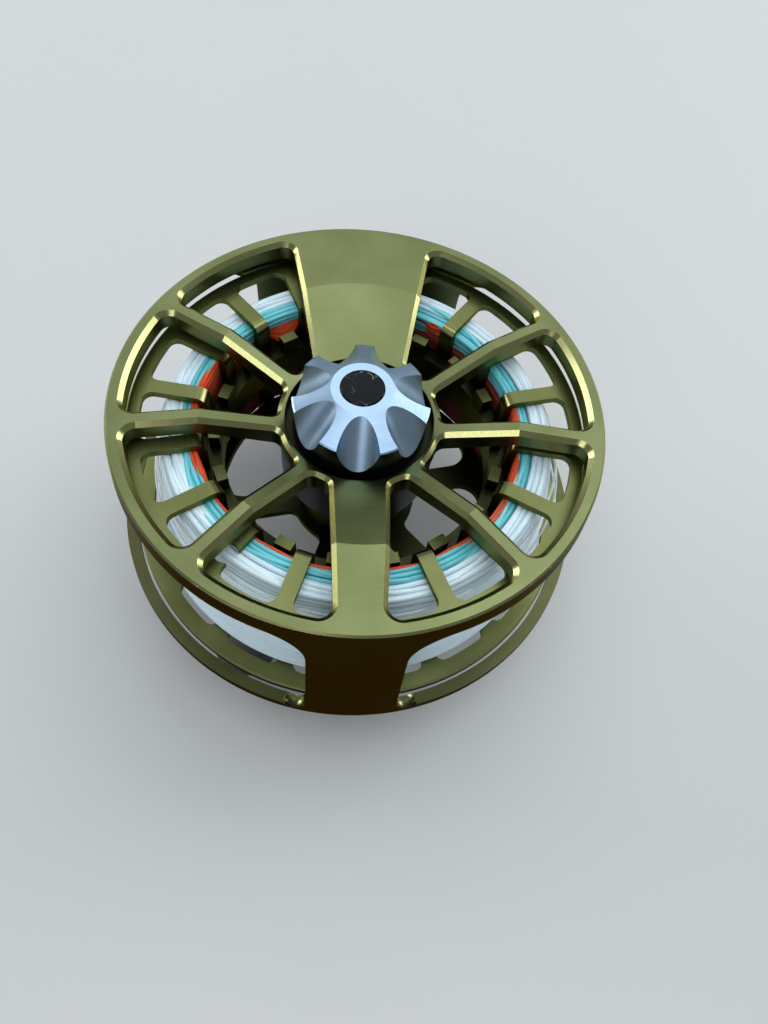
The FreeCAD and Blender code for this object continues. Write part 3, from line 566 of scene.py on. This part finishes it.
def windBacking():
    chance = np.random.default_rng(11)
    wound = Winding()
    pitch, thick = backing["pitch"], backing["thick"]
    # Between two bars a strand runs straighter than the circle, so it hangs in a little.
    barGap = 360.0 / backing["bars"]
    fromBar = (np.degrees(oneTurn) - backing["barPhase"]) % barGap / barGap
    sag = backing["sag"] * np.sin(math.pi * fromBar) ** 2
    for turn in range(int((lineTop - lineBottom) / pitch)):
        height = lineTop - thick - 0.35 - turn * pitch + waver(chance, oneTurn, 0.14)
        loose = chance.uniform(0.6, 1.6)
        # Painted shade: turns lower down the inside of the pack get a darker tone, reaching the deep
        # colour a set depth under the top.
        depth = turn * pitch / backing["darkBelow"]
        hidden = covered(oneTurn) * max(0.0, min(1.0, (backing["hiddenDepth"] - turn * pitch) / 0.6))
        distance = backing["inner"] - sag * loose * (1.0 - hidden) + backing["hiddenOut"] * hidden
        tone = chance.uniform(0.75, 1.0) * max(0.0, 1.0 - depth) ** 0.7
        height = np.minimum(height, lineTop - thick - backing["hiddenDown"] * hidden)
        wound.strand(oneTurn, distance, height, thick, tone, 6)
    run = np.linspace(0.0, 1.0, 40)
    for fromAngle, spread, distance in backing["overturns"]:
        angle = np.radians(fromAngle + spread * run)
        height = lineTop - thick - 0.02 - 0.9 * (1.0 - tuckedEnds(run, 0.15))
        wound.strand(angle, distance + waver(chance, angle, 0.10), height, thick,
                     chance.uniform(0.75, 1.0), 6, closed=False)
    # A loose bundle hangs in a V between two bars beside the broad spoke.
    run = np.linspace(-1.0, 1.0, 41)
    angle = np.radians(bundle["angle"] + bundle["spread"] * run)
    for order in range(bundle["strands"]):
        shape = np.maximum(0.0, 1.0 - np.sqrt(run ** 2 + 0.02) * chance.uniform(1.0, 1.12))
        inward = bundle["inward"] + bundle["inwardStep"] * order
        down = bundle["down"] + bundle["downStep"] * order
        level = lineTop - bundle["depth"] - bundle["depthStep"] * order
        distance = bundle["distance"] - inward * shape + waver(chance, angle, 0.05)
        height = level - down * shape + waver(chance, angle, 0.06)
        wound.strand(angle, distance, height, thick, chance.uniform(0.75, 1.0), 6, closed=False)
    wound.bed([(30.05, lineTop - 0.9), (30.6, lineTop - 0.9),
               (30.6, lineBottom + 0.1), (30.05, lineBottom + 0.1)])
    return wound.build("backingWinding", finishes["backing"])


# slants are strands that run over their neighbours on the end of the pack: where they start, how
# far round they run, and their distances from the axis at the two ends.  slidDepths are depths of
# the turns that slid down over the backing; inner and outer bound the core under the strands,
# which shows the deep colour as painted shade between them.
running = {"thick": 0.47, "first": 30.15, "pitch": 0.90, "rows": 3, "inner": 30.65, "outer": 32.35,
           "lowFirst": 30.9, "slidDistance": 30.12, "slidDepths": (0.92, 1.82, 2.68),
           "slants": ((-118.0, 50.0, 30.3, 32.4), (118.0, 44.0, 32.6, 30.6), (172.0, 40.0, 30.2, 32.6),
                      (-60.0, 46.0, 32.6, 30.3), (20.0, 50.0, 30.4, 33.6), (-150.0, 52.0, 33.4, 30.9),
                      (-35.0, 36.0, 30.5, 31.9), (66.0, 30.0, 31.0, 33.2))}
arborSide = 29.62  # distance from the axis that no turn on the end of the pack goes under


spiral = {"step": math.radians(110.0), "back": math.radians(250.0), "scatter": 12.0, "share": 0.45}


def spiralTop(chance, wound, setup, drift):
    # On the end of the pack a turn steps outwards over one part of its round and back over another.
    thick, pitch = setup["thick"], setup["pitch"]
    for layer in range(setup["rows"]):
        start = math.radians(drift + chance.uniform(-spiral["scatter"], spiral["scatter"]))
        turn = (oneTurn - start) % (2.0 * math.pi)
        move = smoothStep(turn / spiral["step"]) - smoothStep((turn - spiral["back"]) / spiral["step"])
        distance = setup["first"] + pitch * layer + spiral["share"] * pitch * (move - 0.5)
        distance = np.maximum(distance + waver(chance, oneTurn, 0.10), arborSide + thick)
        height = lineTop - thick - 0.28 + waver(chance, oneTurn, 0.22)
        wound.strand(oneTurn, distance, np.minimum(height, lineTop - thick), thick,
                     chance.uniform(0.55, 1.0))
        # Painted shade: the lower strand beside each turn gets a darker tone.
        wound.strand(oneTurn, distance + 0.5 * pitch, height - 0.85 * thick * 2.0, thick,
                     chance.uniform(0.2, 0.6), 6)


def layBottom(chance, wound, setup, first, rows, size):
    # Plain turns side by side on the far end of the pack.
    level = np.full(turnSteps, lineBottom + setup["thick"] + 0.1)
    for layer in range(rows):
        distance = first + setup["pitch"] * layer + waver(chance, oneTurn, size)
        wound.strand(oneTurn, distance, level, setup["thick"], chance.uniform(0.4, 1.0), 6)


def crossing(wound, fromAngle, spread, distances, heights, thick, tone):
    # A strand that runs over its neighbours on a slant, its two ends tucked under.
    run = np.linspace(0.0, 1.0, 40)
    angle = np.radians(fromAngle + spread * run)
    share = smoothStep(run)
    distance = distances[0] + (distances[1] - distances[0]) * share
    height = heights[0] + (heights[1] - heights[0]) * share - 0.9 * (1.0 - tuckedEnds(run, 0.18))
    wound.strand(angle, distance, height, thick, tone, closed=False)


def windRunning():
    chance = np.random.default_rng(23)
    wound = Winding()
    thick, top = running["thick"], lineTop - running["thick"]
    spiralTop(chance, wound, running, 40.0)
    for fromAngle, spread, start, end in running["slants"]:
        crossing(wound, fromAngle, spread, (start, end), (top - 0.02, top - 0.02), thick,
                 chance.uniform(0.7, 1.0))
    # Where the inner turns have slid down over the backing they lie under each other; the deeper ones get
    # darker tones as painted shade.
    for start, end in coveredSpans:
        for drop in running["slidDepths"]:
            ease = chance.uniform(-3.0, 3.0)
            heights = (top - drop, top - drop - chance.uniform(-0.1, 0.15))
            crossing(wound, start - 4.0 + ease, end - start + 8.0 + ease, (running["slidDistance"],) * 2,
                     heights, thick, chance.uniform(0.45, 0.85) - 0.1 * drop)
    layBottom(chance, wound, running, running["lowFirst"], running["rows"], 0.08)
    inner, outer, level = running["inner"], running["outer"], lineTop - 1.3
    bottom = lineBottom + thick + 0.1
    wound.bed([(inner, level), (outer, level), (outer, bottom), (inner, bottom)])
    return wound.build("runningWinding", finishes["running"])


pack = {"top": 35.6, "bottom": 40.2, "bulge": 0.3}  # the pack's outer radius at its two ends
head = {"thick": 0.53, "first": 32.95, "pitch": 1.04, "rows": 3, "wraps": 14, "inner": 32.5,
        "slants": ((-112.0, 60.0, 33.2, 34.9), (150.0, 64.0, 34.9, 33.0), (-20.0, 60.0, 33.1, 34.9),
                   (60.0, 56.0, 34.9, 33.4), (205.0, 48.0, 33.1, 34.8), (-75.0, 50.0, 34.9, 33.3),
                   (100.0, 44.0, 33.4, 34.7), (-165.0, 40.0, 34.7, 33.2))}


def crownDistance(height):
    # The pack widens evenly towards the handle side, with a slight bulge between its two edges.
    share = (height - lineMiddle) / ((lineTop - lineBottom) / 2.0)
    mean, slope = (pack["top"] + pack["bottom"]) / 2.0, (pack["top"] - pack["bottom"]) / 2.0
    return mean + slope * share + pack["bulge"] * (1.0 - share ** 2)


def windHead():
    chance = np.random.default_rng(37)
    wound = Winding()
    thick, pitch = head["thick"], head["pitch"]
    spiralTop(chance, wound, head, 200.0)
    layBottom(chance, wound, head, head["first"], int((pack["bottom"] - head["first"]) / pitch), 0.1)
    # Turns on the bulge stand one pitch apart along its arc.
    heights = np.linspace(lineTop - thick - 0.1, lineBottom + thick + 0.1, 400)
    steps = np.hypot(np.diff(heights), np.diff(crownDistance(heights)))
    arc = np.concatenate([[0.0], np.cumsum(steps)])
    for station in np.interp(np.arange(0.0, arc[-1], pitch * 0.985), arc, heights):
        height = np.clip(station + waver(chance, oneTurn, 0.24), lineBottom + thick, lineTop - thick)
        distance = crownDistance(height) - thick + waver(chance, oneTurn, 0.12)
        wound.strand(oneTurn, distance, height, thick, chance.uniform(0.5, 1.0))
    # Slanting turns that went on last, over the others.
    run = np.linspace(0.0, 1.0, 48)
    tuck = tuckedEnds(run, 0.15)
    for _ in range(head["wraps"]):
        fromAngle = chance.uniform(-180.0, 180.0)
        high = chance.uniform(lineMiddle + 1.0, lineTop - 1.4)
        low = high - chance.uniform(1.5, 5.5)
        angle = np.radians(fromAngle + chance.uniform(55.0, 95.0) * run)
        height = high + (low - high) * smoothStep(run)
        distance = crownDistance(height) - thick + 0.5 * tuck - 0.35 * (1.0 - tuck)
        wound.strand(angle, distance, height, thick, chance.uniform(0.6, 1.0), closed=False)
    level = lineTop - thick - 0.02
    for fromAngle, spread, start, end in head["slants"]:
        crossing(wound, fromAngle, spread, (start, end), (level, level), thick, chance.uniform(0.6, 1.0))
    bottom = lineBottom + thick + 0.1
    depth = np.linspace(lineTop - 1.5, bottom, 20)
    outline = [(head["inner"], bottom), (head["inner"], lineTop - 1.5)]
    outline += [(crownDistance(height) - 1.0, height) for height in depth]
    wound.bed(outline)
    return wound.build("headWinding", finishes["head"])


leader = {"thick": 0.21, "levels": (-9.6, -13.2, -16.6), "reach": 43.0, "looseAngle": -6.0}


def windLeader():
    chance = np.random.default_rng(53)
    wound = Winding()
    steps = np.linspace(0.0, 2.0 * math.pi, 180, endpoint=False)
    for order, level in enumerate(leader["levels"]):
        height = level + waver(chance, steps, 0.9, (1, 2, 3))
        # It springs away from the pack in one loose place.
        away = (np.degrees(steps) - leader["looseAngle"] + 8.0 * order + 180.0) % 360.0 - 180.0
        loose = (0.9 + 0.45 * order) * np.exp(-away ** 2 / 520.0)
        distance = np.minimum(crownDistance(height) + leader["thick"] + 0.3 + loose, leader["reach"])
        wound.strand(steps, distance, height, leader["thick"], 1.0, 6)
    return wound.build("leaderStrand", finishes["leader"])


for piece, nodeName, slotName in (
    (windBacking(), "backing_line", "backing_orange"),
    (windRunning(), "running_line", "running_turquoise"),
    (windHead(), "head_line", "head_white"),
    (windLeader(), "leader", "leader_clear"),
):
    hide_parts(nodeName)
    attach(piece, "spool_unit")
print("line wound")


def layFloor():
    nodes = Nodes("floorPaper")
    cloud = nodes.noise(nodes.add("TexCoord").outputs["Object"], 6.0, 2.0)
    pale = surroundings["floorColour"]
    nodes.set(colour=nodes.blend(cloud, pale, tuple(part * 0.97 for part in pale)), roughness=0.75)
    half, level = surroundings["floorSide"] / 2.0, cadBox[0][2]
    corners = [(-half, -half, level), (half, -half, level), (half, half, level), (-half, half, level)]
    addMesh("floor", np.array(corners), [(0, 1, 2, 3)], nodes.material)


layFloor()
print("floor laid")
